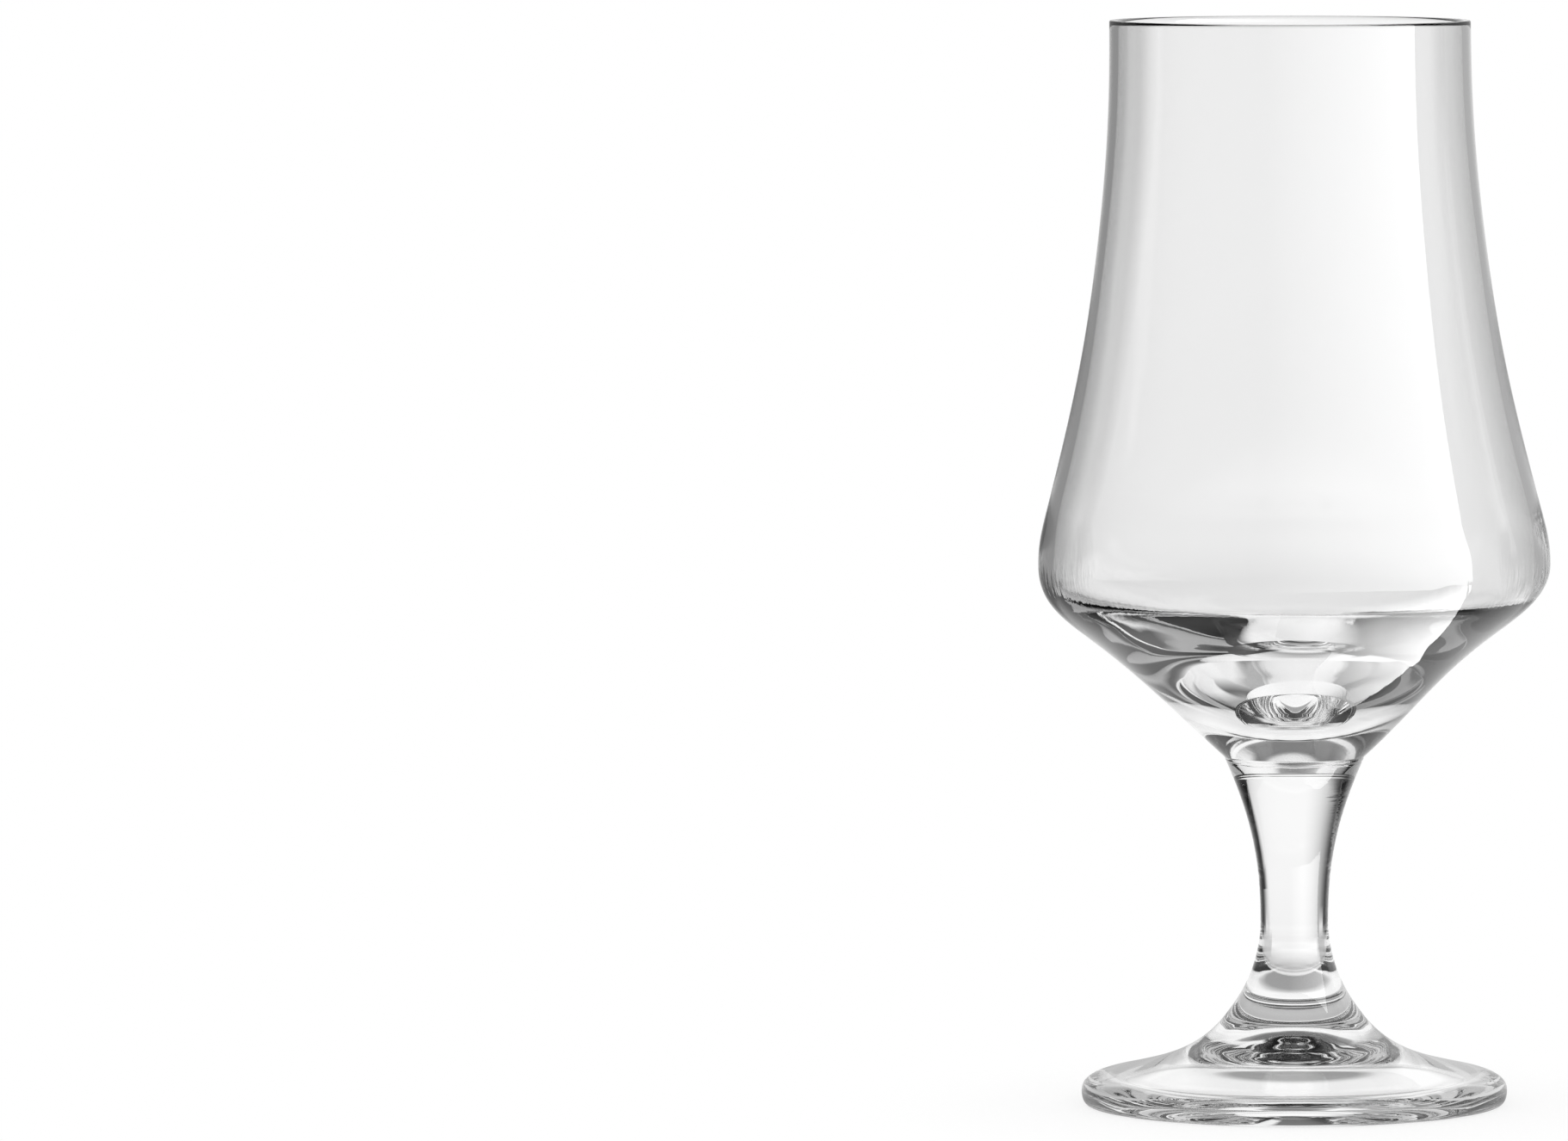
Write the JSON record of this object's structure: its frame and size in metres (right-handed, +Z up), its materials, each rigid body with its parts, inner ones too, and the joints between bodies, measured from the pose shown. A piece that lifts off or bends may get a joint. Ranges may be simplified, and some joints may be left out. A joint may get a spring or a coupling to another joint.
{
  "type": "tulip beer glass",
  "caption": "Stemmed tulip beer glass: a tall bowl with a narrow upright mouth, a low round belly and a cone base, on a short waisted stem and a domed round foot, for serving beer.",
  "frame": {"origin": "centre of the rest ring under the foot, on the table", "axes": "+Z up along the axis that every piece is turned about; X and Y lie on the table, and -Y faces the viewer"},
  "size_m": [0.0868, 0.0868, 0.1839],
  "materials": {
    "blown_glass": "blown clear soda-lime glass, fire-polished",
    "pressed_glass": "pressed and drawn clear soda-lime glass, fire-polished"
  },
  "bodies": {
    "root": {"bowl": "blown_glass", "stem": "pressed_glass", "foot": "pressed_glass"}
  },
  "joints": []
}
